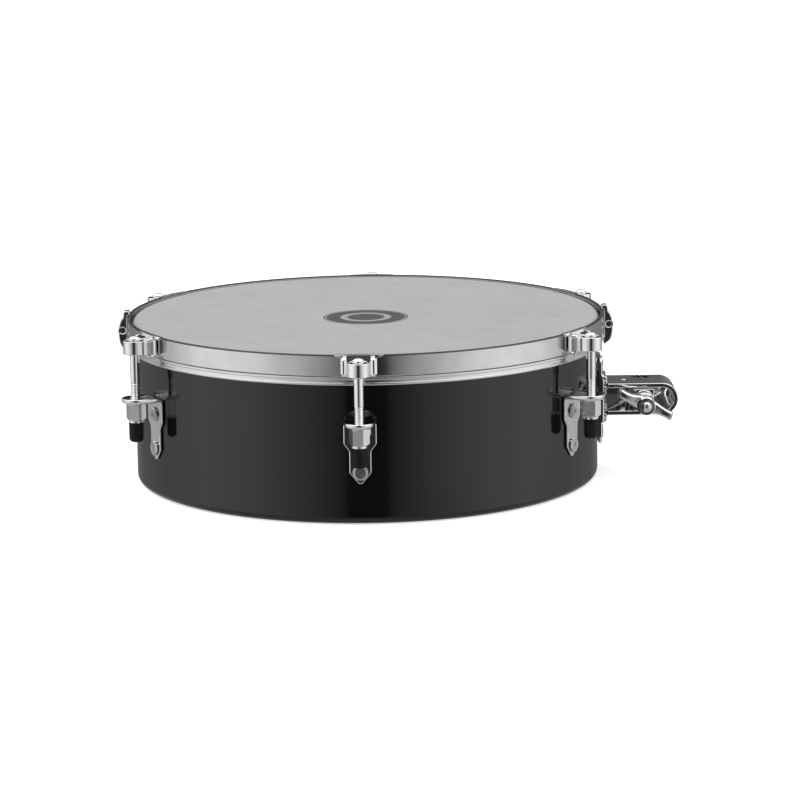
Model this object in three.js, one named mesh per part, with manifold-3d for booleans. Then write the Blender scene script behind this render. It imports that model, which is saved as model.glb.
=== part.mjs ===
// A single mountable timbale: a shallow steel shell with one head, a flat counterhoop drawn down
// by six hook-and-nut tension rods, and a rod clamp on its side. Millimetres, +Z up.
// The drum is built around its own axis; the last lines centre it on its bounding box.

import * as THREE from 'three';
import { mergeVertices } from 'three/addons/utils/BufferGeometryUtils.js';
import Module from 'manifold-3d';

const wasm = await Module();
wasm.setup();

// ---------------------------------------------------------------- driving dimensions

const GAP = 0.35;                 // clearance between neighbouring pieces
const RING_STEPS = 60;            // facets round the drum
const SMALL_STEPS = 10;           // facets round rods, nuts and bosses
const SCREW_STEPS = 8;            // facets round screws and their holes

const SHELL = { radius: 165.1, wall: 1.5, top: 114.8, rim: 158, foot: 5, edge: 3 };
const FILM = { thickness: 0.35, skirtBottom: 97.5 };
const FLESH_HOOP = { inner: 166.2, outer: 169.0, bottom: 95.7, top: 101.6 };
const HOOP = { inner: 167.2, outer: 169.5, bottom: 101.95, top: 116.5 };

const LUG_COUNT = 6;
const LUG_OFFSET_DEG = -1.7;      // first lug, measured from the front towards +X
const ROD_CIRCLE = 181;           // radius of the circle the rods stand on

const CLAW = { radius: 8.2, bottom: 104, top: 113.7, bore: 3.6, pocket: 5.8, floor: 108.2 };
const CLAW_FOOT = { depth: 7, inner: 8, outer: 11.2, bottom: 102.1, top: 115.9, corner: 3 };
// The lip hooks over the hoop's top edge.
const CLAW_LIP = { inner: 167, halfWidth: 9.5, thickness: 1.6, bottom: 108 };
const ROD = { shank: 3.2, thread: 3.0, end: 46.5, threadTop: 84.5, collar: 5.3, collarHeight: 1.2,
  head: 4.2, top: 116.8 };

const LUG_SHEET = 1.6;
const LUG_FACE = SHELL.radius + GAP;            // flat back of the lug plate
const LUG_PLATE = { shoulder: 11.1, stem: 7.4, shoulderZ: 55.6, stemZ: 50.8, pointZ: 36, tipZ: 28.4,
  tipWidth: 1.2 };
const SHELF = { halfWidth: 10.3, bottom: 70.5, lipHeight: 1.4, lipWidth: 1.2, bore: 3.6 };

const NUT = { acrossFlats: 12, top: 69.5, hexBottom: 58.3, collar: 5.3, collarBottom: 56.3,
  spigot: 4.0, spigotBottom: 52.3, bore: 3.35, washer: 6.5, washerHeight: 0.7, turnDeg: -6.5 };
const CAP = { outer: 5.2, inner: 4.35, bottom: 42.4, floor: 1.6, corner: 2.4 };
const LUG_SCREW = { head: 4.7, headHeight: 2.6, shank: 2.0, hole: 2.4, nut: 3.8, nutHeight: 3 };
const LUG_SCREW_HEIGHTS = { upper: 60.5, lower: 36.4 };

const EAR = { halfWidth: 4, reach: 176.5, bottom: 91, top: 120, hook: 168, eye: 1.8, eyeX: 173.4, eyeZ: 106 };
// The rounded part that stands out from the hoop: straight is the share of its depth with flat sides.
const EAR_LOOP = { height: 22, centre: 104, straight: 0.35 };

const BASE = { halfWidth: 15, bottom: 20.5, top: 83.5, thickness: 2.5, corner: 5 };
const SOCKET = { halfWidth: 17, bottom: 35.5, top: 71.5, face: 172.2, corner: 3 };
const MOUNT_SCREW = { head: 4.5, headHeight: 2.8, shank: 2.4, hole: 2.8, nut: 4.4, nutHeight: 3.4 };
const MOUNT_SCREW_HEIGHTS = { upper: 77.5, lower: 27.5 };
const BACKING = { halfWidth: 12, bottom: 22, top: 83, thickness: 2, setback: 0.9 };

const STRAP = { halfWidth: 17, bottom: 42.1, top: 65.0, reach: 222, thickness: 3.2, web: 2.8 };
const STRAP_MID = (STRAP.bottom + STRAP.top) / 2;
const STAND_ROD = { x: 197, y: 7.7, radius: 4.76, hole: 7.1 };   // hole: half diagonal of the square
const BOSS = { halfWidth: 7.5, back: -11.9, front: -16.6, nose: -20, noseRadius: 7.2, bore: 4.15 };
const JAW = { halfWidth: 9, front: -6.5, notchHalf: 5.5, socketDepth: 3, margin: 0.7 };
const WING = { shaft: 3.8, hubBack: -26, hubFront: -43.5, backRadius: 7.2, frontRadius: 6.6,
  tip: 3.7, tipFront: -48, span: 20.5, blade: 6, bladeBack: -28, bladeFront: -40, tiltDeg: 26 };

// ---------------------------------------------------------------- finishes

const finish = (color, roughness, metalness) => (
  new THREE.MeshStandardMaterial({ color, roughness, metalness })
);
const blackLacquer = finish(0x101113, 0.12, 0.3);
const chrome = finish(0xd4d7da, 0.12, 1);
const steel = finish(0xb4b6b8, 0.35, 1);
const whiteFilm = finish(0xdadbdc, 0.55, 0);
const aluminium = finish(0xc9cbcd, 0.3, 1);
const blackRubber = finish(0x141414, 0.7, 0);

// ---------------------------------------------------------------- solids

const rad = THREE.MathUtils.degToRad;

// A closed manifold solid from a three.js geometry, with its seams welded.
function solid(geometry) {
  geometry.deleteAttribute('normal');
  geometry.deleteAttribute('uv');
  const welded = mergeVertices(geometry, 1e-4);
  const index = welded.index.array;
  const triangles = [];
  for (let i = 0; i < index.length; i += 3) {
    const [a, b, c] = index.slice(i, i + 3);
    if (a !== b && b !== c && c !== a) triangles.push(a, b, c);
  }
  return new wasm.Manifold(new wasm.Mesh({
    numProp: 3,
    vertProperties: new Float32Array(welded.attributes.position.array),
    triVerts: new Uint32Array(triangles),
  }));
}

function meshOf(name, body, material) {
  const { vertProperties, triVerts } = body.getMesh();
  const geometry = new THREE.BufferGeometry();
  geometry.setAttribute('position', new THREE.BufferAttribute(new Float32Array(vertProperties), 3));
  geometry.setIndex(new THREE.BufferAttribute(new Uint32Array(triVerts), 1));
  geometry.computeVertexNormals();
  const mesh = new THREE.Mesh(geometry, material);
  mesh.name = name;
  return mesh;
}

const joined = (first, ...rest) => rest.reduce((whole, piece) => whole.add(piece), first);
const minus = (first, ...tools) => tools.reduce((whole, tool) => whole.subtract(tool), first);

// Turned about Z. The profile is [radius, height] pairs, either closed or from axis to axis.
function turned(profile, steps = SMALL_STEPS) {
  const points = profile.map(([r, z]) => new THREE.Vector2(r, z));
  if (THREE.ShapeUtils.area(points) < 0) points.reverse();
  const onAxis = points[0].x === 0 && points.at(-1).x === 0;
  if (!onAxis) points.push(points[0].clone());
  return solid(new THREE.LatheGeometry(points, steps).rotateX(Math.PI / 2));
}

// Turned about an axis along X or Y: [radius, distance along the axis] pairs.
const turnedX = (profile, steps) => turned(profile, steps).rotate([0, 90, 0]);
const turnedY = (profile, steps) => turned(profile, steps).rotate([-90, 0, 0]);

const rod = (radius, low, high) => [[0, low], [radius, low], [radius, high], [0, high]];

function arc(cx, cy, radius, fromDeg, toDeg, steps = 3) {
  return Array.from({ length: steps + 1 }, (_, i) => {
    const angle = rad(fromDeg + (toDeg - fromDeg) * i / steps);
    return [cx + radius * Math.cos(angle), cy + radius * Math.sin(angle)];
  });
}

// A flat outline pushed from low to high along Z, along Y, or along X.
function slab(outline, low, high) {
  const shape = new THREE.Shape(outline.map(([x, y]) => new THREE.Vector2(x, y)));
  const geometry = new THREE.ExtrudeGeometry(shape, { depth: high - low, bevelEnabled: false });
  return solid(geometry.translate(0, 0, low));
}
const slabX = (outlineYZ, low, high) => slab(outlineYZ, low, high).rotate([90, 0, 90]);
const slabY = (outlineXZ, low, high) => slab(outlineXZ, -high, -low).rotate([90, 0, 0]);

function box(x, y, z) {
  const geometry = new THREE.BoxGeometry(x[1] - x[0], y[1] - y[0], z[1] - z[0]);
  return solid(geometry.translate((x[0] + x[1]) / 2, (y[0] + y[1]) / 2, (z[0] + z[1]) / 2));
}

function roundedRectangle(x, y, corner) {
  return [
    ...arc(x[1] - corner, y[0] + corner, corner, -90, 0),
    ...arc(x[1] - corner, y[1] - corner, corner, 0, 90),
    ...arc(x[0] + corner, y[1] - corner, corner, 90, 180),
    ...arc(x[0] + corner, y[0] + corner, corner, 180, 270),
  ];
}

function band({ inner, outer, bottom, top }) {
  return turned([[inner, bottom], [outer, bottom], [outer, top], [inner, top]], RING_STEPS);
}

// ---------------------------------------------------------------- stations round the drum

// Inside a station +X points outwards from the drum's axis, +Y runs round it and +Z is up.
function station(angleFromFrontDeg) {
  const group = new THREE.Group();
  group.rotation.z = rad(angleFromFrontDeg - 90);
  return group;
}

const lugAngles = Array.from({ length: LUG_COUNT }, (_, i) => LUG_OFFSET_DEG + i * 360 / LUG_COUNT);
const MOUNT_ANGLE = 90;
const EAR_ANGLES = [MOUNT_ANGLE, -MOUNT_ANGLE];

// A screw along X through the shell wall: domed head outside, shank, plain round nut inside.
function wallScrew(spec, headSeat, nutSeat) {
  const { head, headHeight, shank, nut, nutHeight } = spec;
  const tail = nutSeat - nutHeight - 1;
  return turnedX([
    [0, tail], [shank, tail], [shank, nutSeat - nutHeight], [nut, nutSeat - nutHeight], [nut, nutSeat],
    [shank, nutSeat], [shank, headSeat], [head, headSeat], [head, headSeat + headHeight * 0.35],
    [head * 0.72, headSeat + headHeight * 0.85], [0, headSeat + headHeight],
  ], SCREW_STEPS);
}

const wallHole = (radius, height) => turnedX(rod(radius, SHELL.rim - 5, SHELL.radius + 8), SCREW_STEPS)
  .translate([0, 0, height]);

// ---------------------------------------------------------------- drum

function shellSolid() {
  const { radius, wall, top, rim, foot, edge } = SHELL;
  const edgeCentre = [radius - edge, top - edge];
  const body = turned([
    [rim, 0], ...arc(radius - foot, foot, foot, -90, 0),
    ...arc(...edgeCentre, edge, 0, 90), [radius - edge - 2.6, top - 1.2], [radius - edge - 3.2, top - 2.6],
    ...arc(...edgeCentre, edge - wall, 90, 0),
    ...arc(radius - foot, foot, foot - wall, 0, -90), [rim, wall],
  ], RING_STEPS);
  const holes = lugAngles.flatMap((angle) => Object.values(LUG_SCREW_HEIGHTS)
    .map((height) => wallHole(LUG_SCREW.hole, height).rotate([0, 0, angle - 90])));
  const mountHoles = Object.values(MOUNT_SCREW_HEIGHTS).map((height) => wallHole(MOUNT_SCREW.hole, height));
  return minus(body, ...holes, ...mountHoles);
}

// The head: a flat film that turns down over the bearing edge into the flesh hoop.
function filmSolid() {
  const { radius, top, edge } = SHELL;
  const centre = [radius - edge, top - edge];
  const inner = edge + GAP + 0.05;
  const outer = inner + FILM.thickness;
  return turned([
    [0, centre[1] + inner], ...arc(...centre, inner, 90, 0),
    [centre[0] + inner, FILM.skirtBottom], [centre[0] + outer, FILM.skirtBottom],
    ...arc(...centre, outer, 0, 90), [0, centre[1] + outer],
  ], RING_STEPS);
}

// ---------------------------------------------------------------- tension lugs

function clawSolid() {
  const back = HOOP.outer + GAP;
  const span = [CLAW.bottom, CLAW.top];
  const feet = [-1, 1].map((side) => {
    const y = [side * CLAW_FOOT.inner, side * CLAW_FOOT.outer].sort((a, b) => a - b);
    const { depth, bottom, top, corner } = CLAW_FOOT;
    const pad = roundedRectangle([back, back + depth], [bottom, top], corner);
    return slabY(pad, ...y);
  });
  const lipAcross = [-CLAW_LIP.halfWidth, CLAW_LIP.halfWidth];
  const lipBottom = HOOP.top + GAP;
  const lipTop = lipBottom + CLAW_LIP.thickness;
  const lip = joined(
    box([CLAW_LIP.inner, back + CLAW_LIP.thickness], lipAcross, [lipBottom, lipTop]),
    box([back, back + CLAW_LIP.thickness], lipAcross, [CLAW_LIP.bottom, lipTop]),
  );
  const barrel = turned(rod(CLAW.radius, ...span)).translate([ROD_CIRCLE, 0, 0]);
  const web = box([back, ROD_CIRCLE], [-CLAW.radius, CLAW.radius], span);
  const bore = turned(rod(CLAW.bore, CLAW.bottom - 1, CLAW.top)).translate([ROD_CIRCLE, 0, 0]);
  const pocket = turned(rod(CLAW.pocket, CLAW.floor, CLAW.top + 1)).translate([ROD_CIRCLE, 0, 0]);
  return minus(joined(web, barrel, lip, ...feet), bore, pocket);
}

function tensionRodSolid() {
  const seat = CLAW.floor + GAP;
  const { shank, thread, end, threadTop, collar, collarHeight, head, top } = ROD;
  return turned([
    [0, end], [thread - 0.5, end], [thread, end + 0.5], [thread, threadTop], [shank, threadTop + 0.2],
    [shank, seat], [collar, seat], [collar, seat + collarHeight], [head, seat + collarHeight],
    [head, top - 2.8], [head * 0.84, top - 1.2], [head * 0.45, top - 0.25], [0, top],
  ]).translate([ROD_CIRCLE, 0, 0]);
}

// One bent sheet: a pointed plate on the shell and a lipped shelf that the nut bears on.
function lugPlateSolid() {
  const { shoulder, stem, shoulderZ, stemZ, pointZ, tipZ, tipWidth } = LUG_PLATE;
  const shelfTop = SHELF.bottom + LUG_SHEET;
  const plate = slabX([
    [-tipWidth, tipZ], [tipWidth, tipZ], [stem, pointZ], [stem, stemZ], [shoulder, shoulderZ],
    [shoulder, shelfTop], [-shoulder, shelfTop], [-shoulder, shoulderZ], [-stem, stemZ], [-stem, pointZ],
  ], LUG_FACE, LUG_FACE + LUG_SHEET);
  const tongue = (inset) => {
    const half = SHELF.halfWidth - inset;
    const front = arc(ROD_CIRCLE - 0.5, 0, half, -90, 90, 6);
    return [[LUG_FACE + inset, -half], ...front, [LUG_FACE + inset, half]];
  };
  const lipTop = shelfTop + SHELF.lipHeight;
  const dish = slab(tongue(SHELF.lipWidth), shelfTop, lipTop + 1);
  const shelf = slab(tongue(0), SHELF.bottom, lipTop).subtract(dish);
  const bore = turned(rod(SHELF.bore, SHELF.bottom - 1, lipTop)).translate([ROD_CIRCLE, 0, 0]);
  const screwHoles = Object.values(LUG_SCREW_HEIGHTS).map((height) => wallHole(LUG_SCREW.hole, height));
  return minus(joined(plate, shelf), bore, ...screwHoles);
}

function nutSolid() {
  const { top, hexBottom, collar, collarBottom, spigot, spigotBottom, bore, washer, washerHeight } = NUT;
  const corner = NUT.acrossFlats / Math.sqrt(3);
  const hex = turned(rod(corner, hexBottom, top), 6).rotate([0, 0, NUT.turnDeg]);
  const round = turned([
    [0, spigotBottom], [spigot, spigotBottom], [spigot, collarBottom], [collar, collarBottom],
    [collar, hexBottom + 0.5], [spigot, hexBottom + 0.5], [spigot, top],
    [washer, top], [washer, top + washerHeight], [0, top + washerHeight],
  ]);
  const hole = turned(rod(bore, spigotBottom - 1, top + washerHeight + 1));
  return minus(joined(hex, round), hole).translate([ROD_CIRCLE, 0, 0]);
}

function capSolid() {
  const { outer, inner, bottom, floor, corner } = CAP;
  const rimTop = NUT.collarBottom - GAP;
  return turned([
    [0, bottom], ...arc(outer - corner, bottom + corner, corner, -90, 0, 3), [outer, rimTop],
    [inner, rimTop], [inner, bottom + floor], [0, bottom + floor],
  ]).translate([ROD_CIRCLE, 0, 0]);
}

function lugScrewSolid(height) {
  const headSeat = LUG_FACE + LUG_SHEET + GAP;
  const nutSeat = SHELL.radius - SHELL.wall - GAP - 0.2;
  return wallScrew(LUG_SCREW, headSeat, nutSeat).translate([0, 0, height]);
}

function lug(number, angle) {
  const group = station(angle);
  group.add(
    meshOf(`claw_${number}`, clawSolid(), chrome),
    meshOf(`tension_rod_${number}`, tensionRodSolid(), chrome),
    meshOf(`lug_plate_${number}`, lugPlateSolid(), chrome),
    meshOf(`tension_nut_${number}`, nutSolid(), chrome),
    meshOf(`rod_cap_${number}`, capSolid(), blackRubber),
  );
  for (const [place, height] of Object.entries(LUG_SCREW_HEIGHTS)) {
    group.add(meshOf(`lug_screw_${place}_${number}`, lugScrewSolid(height), steel));
  }
  return group;
}

// ---------------------------------------------------------------- hoop ears

// A looped clip: a tab over the hoop's top edge and a rounded loop that stands out from its side.
function earSolid() {
  const back = HOOP.outer + GAP;
  const { reach, bottom, top, hook, halfWidth, eye, eyeX, eyeZ } = EAR;
  const depth = reach - back;
  const { height, centre, straight } = EAR_LOOP;
  const loop = [-90, -60, -30, 0, 30, 60].map(rad).map((turn) => [
    back + depth * (straight + (1 - straight) * Math.cos(turn)), centre + height / 2 * Math.sin(turn),
  ]);
  const clip = slabY([
    [back, bottom], [back + 1, bottom], ...loop, [back + 2.5, HOOP.top], [back + 2.3, top - 1],
    [back + 1.2, top], [hook + 0.6, top], [hook, top - 0.8], [hook, HOOP.top + GAP], [back, HOOP.top + GAP],
  ], -halfWidth, halfWidth);
  const hole = turnedY(rod(eye, -halfWidth - 1, halfWidth + 1)).translate([eyeX, 0, eyeZ]);
  return clip.subtract(hole);
}

// ---------------------------------------------------------------- side clamp

// A plate on the shell with a cast socket that holds the two ends of the strap.
function baseSolid() {
  const back = SHELL.radius + GAP;
  const face = back + BASE.thickness;
  const across = [-BASE.halfWidth, BASE.halfWidth];
  const plate = slabX(roundedRectangle(across, [BASE.bottom, BASE.top], BASE.corner), back, face);
  const socketAcross = [-SOCKET.halfWidth, SOCKET.halfWidth];
  const socket = slabX(roundedRectangle(socketAcross, [SOCKET.bottom, SOCKET.top], SOCKET.corner),
    face - 1, SOCKET.face);
  const holes = Object.values(MOUNT_SCREW_HEIGHTS).map((height) => wallHole(MOUNT_SCREW.hole, height));
  return minus(joined(plate, socket), ...holes);
}

function backingSolid() {
  const face = SHELL.radius - SHELL.wall - BACKING.setback;
  const across = [-BACKING.halfWidth, BACKING.halfWidth];
  const outline = roundedRectangle(across, [BACKING.bottom, BACKING.top], 3);
  const plate = slabX(outline, face - BACKING.thickness, face);
  const holes = Object.values(MOUNT_SCREW_HEIGHTS).map((height) => wallHole(MOUNT_SCREW.hole, height));
  return minus(plate, ...holes);
}

function mountScrewSolid(height) {
  const headSeat = SHELL.radius + GAP + BASE.thickness + GAP;
  const nutSeat = SHELL.radius - SHELL.wall - BACKING.setback - BACKING.thickness - GAP;
  return wallScrew(MOUNT_SCREW, headSeat, nutSeat).translate([0, 0, height]);
}

// A U of flat strap, lying on its side and closed at the back by a web, with square holes set
// cornerwise for the stand's rod.
function strapSolid() {
  const start = SOCKET.face + GAP;
  const outer = (STRAP.top - STRAP.bottom) / 2;
  const bendX = STRAP.reach - outer;
  const half = STRAP.halfWidth;
  const outline = [
    [start, STRAP.bottom], ...arc(bendX, STRAP_MID, outer, -90, 90, 8), [start, STRAP.top],
    [start, STRAP.top - STRAP.thickness],
    ...arc(bendX, STRAP_MID, outer - STRAP.thickness, 90, -90, 8), [start, STRAP.bottom + STRAP.thickness],
  ];
  const { x, y, hole } = STAND_ROD;
  const diamond = slab([[x - hole, y], [x, y - hole], [x + hole, y], [x, y + hole]],
    STRAP.bottom - 1, STRAP.top + 1);
  const side = [[start, STRAP.bottom], ...arc(bendX, STRAP_MID, outer, -90, 90, 8), [start, STRAP.top]];
  const web = slabY(side, half - STRAP.web, half);
  return joined(slabY(outline, -half, half), web).subtract(diamond);
}

const insideStrap = (margin) => {
  const inset = STRAP.thickness + margin;
  return [STRAP.bottom + inset, STRAP.top - inset];
};

// The threaded block between the strap's legs that the wing screw runs in.
function bossSolid() {
  const { halfWidth, back, front, nose, noseRadius, bore } = BOSS;
  const block = box([-halfWidth, halfWidth], [front, back], insideStrap(GAP).map((z) => z - STRAP_MID));
  const collar = turnedY(rod(noseRadius, nose, back - 1));
  const hole = turnedY(rod(bore, nose - 1, back + 1));
  return minus(joined(block, collar), hole).translate([STAND_ROD.x, 0, STRAP_MID]);
}

// The sliding jaw, notched to a right angle for the stand's rod.
function jawSolid() {
  const { halfWidth, front, notchHalf, socketDepth, margin } = JAW;
  const apex = STAND_ROD.y - STAND_ROD.radius * Math.SQRT2 - GAP / 2;
  const horn = apex + notchHalf;
  const profile = slab([
    [-halfWidth, front], [halfWidth, front], [halfWidth, horn], [notchHalf, horn], [0, apex],
    [-notchHalf, horn], [-halfWidth, horn],
  ], ...insideStrap(margin).map((z) => z - STRAP_MID));
  const socket = turnedY(rod(BOSS.bore, front - 1, front + socketDepth));
  return profile.subtract(socket).translate([STAND_ROD.x, 0, STRAP_MID]);
}

function wingScrewSolid() {
  const { shaft, hubBack, hubFront, backRadius, frontRadius, tip, tipFront } = WING;
  const tail = JAW.front + JAW.socketDepth - GAP;
  const stem = turnedY([
    [0, tipFront], [tip * 0.7, tipFront + 0.6], [tip, tipFront + 2.2], [tip, hubFront],
    [frontRadius - 1, hubFront],
    [frontRadius, hubFront + 1], [backRadius, hubBack], [shaft, hubBack], [shaft, tail], [0, tail],
  ]);
  const { span, blade, bladeBack, bladeFront, tiltDeg } = WING;
  const wings = slab(roundedRectangle([-span, span], [bladeFront, bladeBack], 5), -blade / 2, blade / 2);
  return joined(stem, wings).rotate([0, tiltDeg, 0]).translate([STAND_ROD.x, 0, STRAP_MID]);
}

function clamp() {
  const group = station(MOUNT_ANGLE);
  group.add(
    meshOf('mount_base', baseSolid(), chrome),
    meshOf('mount_backing', backingSolid(), steel),
    meshOf('mount_strap', strapSolid(), chrome),
    meshOf('clamp_boss', bossSolid(), chrome),
    meshOf('clamp_jaw', jawSolid(), steel),
    meshOf('wing_screw', wingScrewSolid(), chrome),
  );
  for (const [place, height] of Object.entries(MOUNT_SCREW_HEIGHTS)) {
    group.add(meshOf(`mount_screw_${place}`, mountScrewSolid(height), steel));
  }
  return group;
}

// ---------------------------------------------------------------- assembly

const drum = new THREE.Group();
drum.add(
  meshOf('shell', shellSolid(), blackLacquer),
  meshOf('head_film', filmSolid(), whiteFilm),
  meshOf('flesh_hoop', band(FLESH_HOOP), aluminium),
  meshOf('counterhoop', band(HOOP), chrome),
  clamp(),
);
lugAngles.forEach((angle, i) => drum.add(lug(i + 1, angle)));
EAR_ANGLES.forEach((angle, i) => {
  const side = station(angle);
  side.add(meshOf(`hoop_ear_${i + 1}`, earSolid(), chrome));
  drum.add(side);
});

// The row's origin is the middle of the bounding box, on the plane the shell stands on.
const group = new THREE.Group();
group.add(drum);
group.updateMatrixWorld(true);
const middle = new THREE.Box3().setFromObject(drum, true).getCenter(new THREE.Vector3());
drum.position.set(-middle.x, -middle.y, 0);

export default group;
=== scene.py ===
"""Looks for one side-mounted timbale: lacquered shell, white head, chrome hoop, six lugs, rod clamp."""

import math

import bmesh
import bpy
from mathutils import Matrix, Vector


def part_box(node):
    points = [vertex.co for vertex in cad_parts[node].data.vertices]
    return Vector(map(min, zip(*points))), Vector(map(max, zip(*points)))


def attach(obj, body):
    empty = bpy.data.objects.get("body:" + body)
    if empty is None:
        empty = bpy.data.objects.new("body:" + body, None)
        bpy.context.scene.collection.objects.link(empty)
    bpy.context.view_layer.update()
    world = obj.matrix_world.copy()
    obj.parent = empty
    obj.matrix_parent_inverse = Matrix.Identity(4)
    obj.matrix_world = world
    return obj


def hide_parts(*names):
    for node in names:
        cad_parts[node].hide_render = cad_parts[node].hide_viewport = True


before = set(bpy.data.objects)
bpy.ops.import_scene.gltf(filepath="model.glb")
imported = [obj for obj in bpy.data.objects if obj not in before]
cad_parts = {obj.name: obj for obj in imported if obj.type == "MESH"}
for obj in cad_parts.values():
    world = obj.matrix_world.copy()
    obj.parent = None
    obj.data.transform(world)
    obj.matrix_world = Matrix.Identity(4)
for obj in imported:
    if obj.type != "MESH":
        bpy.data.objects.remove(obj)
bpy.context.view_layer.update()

MM = 0.001
TAU = 2 * math.pi
WELD = 1e-7  # points nearer than this become one


def mm(*lengths):
    """Lengths given in millimetres."""
    return [length * MM for length in lengths]


# ---- places, worked out from the frame

shell_low, shell_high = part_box("shell")
AXIS = Vector(((shell_low.x + shell_high.x) / 2, (shell_low.y + shell_high.y) / 2, 0))
SHELL_R = (shell_high.x - shell_low.x) / 2


def station(angle):
    """A frame on the drum's axis whose +X points outwards at this angle from +X."""
    return Matrix.Translation(AXIS) @ Matrix.Rotation(angle, 4, "Z")


def lug_station(number):
    low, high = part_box(f"tension_rod_{number}")
    place = (low + high) / 2 - AXIS
    return station(math.atan2(place.y, place.x))


LUG_STATION = {k: lug_station(k) for k in range(1, 7)}
SIDE = station(0)


def local_box(node, place):
    """Lowest and highest corner of a CAD node, in a station's frame."""
    back = place.inverted()
    points = [back @ v.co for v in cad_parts[node].data.vertices]
    return [Vector([pick(p[i] for p in points) for i in range(3)]) for pick in (min, max)]


# ---- mesh helpers

SHARP = math.radians(34)
STRAIGHT = 0.02  # radians; a corner this close to straight is left alone
CORNER_SHARE = 0.49  # the most of a side that a rounded corner may take
SHEET_WELD = 0.002 * MM


def smooth(mesh, sharp=SHARP):
    mesh.polygons.foreach_set("use_smooth", [True] * len(mesh.polygons))
    mesh.set_sharp_from_angle(angle=sharp)
    return mesh


def new_object(name, mesh):
    piece = bpy.data.objects.new(name, mesh)
    bpy.context.scene.collection.objects.link(piece)
    return piece


def mesh_from(name, build, sharp=SHARP):
    """A smoothed mesh whose geometry build(bm) makes."""
    bm = bmesh.new()
    build(bm)
    bmesh.ops.remove_doubles(bm, verts=bm.verts, dist=WELD)
    bmesh.ops.recalc_face_normals(bm, faces=bm.faces)
    mesh = bpy.data.meshes.new(name)
    bm.to_mesh(mesh)
    bm.free()
    return smooth(mesh, sharp)


def loft(bm, loops, ring=False):
    """Quads between loops of the same length. The ends are capped, or joined in a ring."""
    rings = [[bm.verts.new(p) for p in loop] for loop in loops]
    count = len(rings[0])
    for a, b in zip(rings, rings[1:] + rings[:1] if ring else rings[1:]):
        for i in range(count):
            j = (i + 1) % count
            bm.faces.new((a[i], a[j], b[j], b[i]))
    if not ring:
        bm.faces.new(list(reversed(rings[0])))
        bm.faces.new(rings[-1])


def arc(cx, cy, radius, start, end, steps=6):
    """Points on a circle, angles in degrees."""
    angles = [math.radians(start + (end - start) * i / steps) for i in range(steps + 1)]
    return [(cx + radius * math.cos(a), cy + radius * math.sin(a)) for a in angles]


def rounded(corners, radii, steps=4):
    """A closed outline with its corners rounded. radii is one number or one for each corner."""
    count = len(corners)
    if not isinstance(radii, (list, tuple)):
        radii = [radii] * count
    outline = []
    for i, radius in enumerate(radii):
        here = Vector(corners[i])
        before, after = Vector(corners[i - 1]) - here, Vector(corners[(i + 1) % count]) - here
        angle = before.angle(after)
        if radius <= 0 or abs(angle - math.pi) < STRAIGHT:
            outline.append(tuple(here))
            continue
        reach = min(radius / math.tan(angle / 2), before.length * CORNER_SHARE, after.length * CORNER_SHARE)
        radius = reach * math.tan(angle / 2)
        inwards = (before.normalized() + after.normalized()).normalized()
        centre = here + inwards * (radius / math.sin(angle / 2))
        first = here + before.normalized() * reach - centre
        last = here + after.normalized() * reach - centre
        turn = first.angle_signed(last)
        for k in range(steps + 1):
            a = -turn * k / steps
            outline.append((centre.x + first.x * math.cos(a) - first.y * math.sin(a),
                            centre.y + first.x * math.sin(a) + first.y * math.cos(a)))
    return outline


def dome(radius, height, steps):
    """A quarter of an ellipse as [radius, height], from its rim up to the axis."""
    angles = [math.pi / 2 * i / steps for i in range(steps)]
    return [(radius * math.cos(a), height * math.sin(a)) for a in angles] + [(0, height)]


def revolve(bm, profile, steps=48, place=Matrix()):
    """Turns a closed [radius, height] profile about Z. Points on the axis become one vertex."""
    columns = []
    for i in range(steps):
        a = TAU * i / steps
        columns.append([bm.verts.new(place @ Vector((r * math.cos(a), r * math.sin(a), z)))
                        if r > WELD else None for r, z in profile])
    poles = [bm.verts.new(place @ Vector((0, 0, z))) if r <= WELD else None for r, z in profile]
    count = len(profile)
    for i in range(steps):
        a, b = columns[i], columns[(i + 1) % steps]
        for k in range(count):
            m = (k + 1) % count
            quad = [a[k] or poles[k], b[k] or poles[k], b[m] or poles[m], a[m] or poles[m]]
            corners = [v for n, v in enumerate(quad) if v not in quad[:n]]
            if len(corners) > 2:
                bm.faces.new(corners)


def mesh_of(piece):
    """A new mesh with the object's modifiers or curve settings applied."""
    bpy.context.view_layer.update()
    return bpy.data.meshes.new_from_object(piece.evaluated_get(bpy.context.evaluated_depsgraph_get()))


def sheet(name, outlines, depth, bevel, resolution=3):
    """A plate with rounded edges from flat outlines in XY, the first its edge and the rest holes.
    Its depth runs along Z from 0."""
    curve = bpy.data.curves.new(name, "CURVE")
    curve.dimensions = "2D"
    curve.fill_mode = "BOTH"
    curve.extrude = depth / 2 - bevel
    curve.bevel_depth = bevel
    curve.bevel_resolution = resolution
    curve.offset = -bevel
    for outline in outlines:
        spline = curve.splines.new("POLY")
        spline.points.add(len(outline) - 1)
        for point, (x, y) in zip(spline.points, outline):
            point.co = (x, y, 0, 1)
        spline.use_cyclic_u = True
    holder = new_object(name, curve)
    mesh = mesh_of(holder)
    bpy.data.objects.remove(holder)
    bpy.data.curves.remove(curve)
    mesh.transform(Matrix.Translation((0, 0, depth / 2)))
    bm = bmesh.new()
    bm.from_mesh(mesh)
    bmesh.ops.remove_doubles(bm, verts=bm.verts, dist=SHEET_WELD)
    bmesh.ops.dissolve_degenerate(bm, edges=bm.edges, dist=WELD)
    bmesh.ops.recalc_face_normals(bm, faces=bm.faces)
    bm.to_mesh(mesh)
    bm.free()
    return mesh


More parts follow.
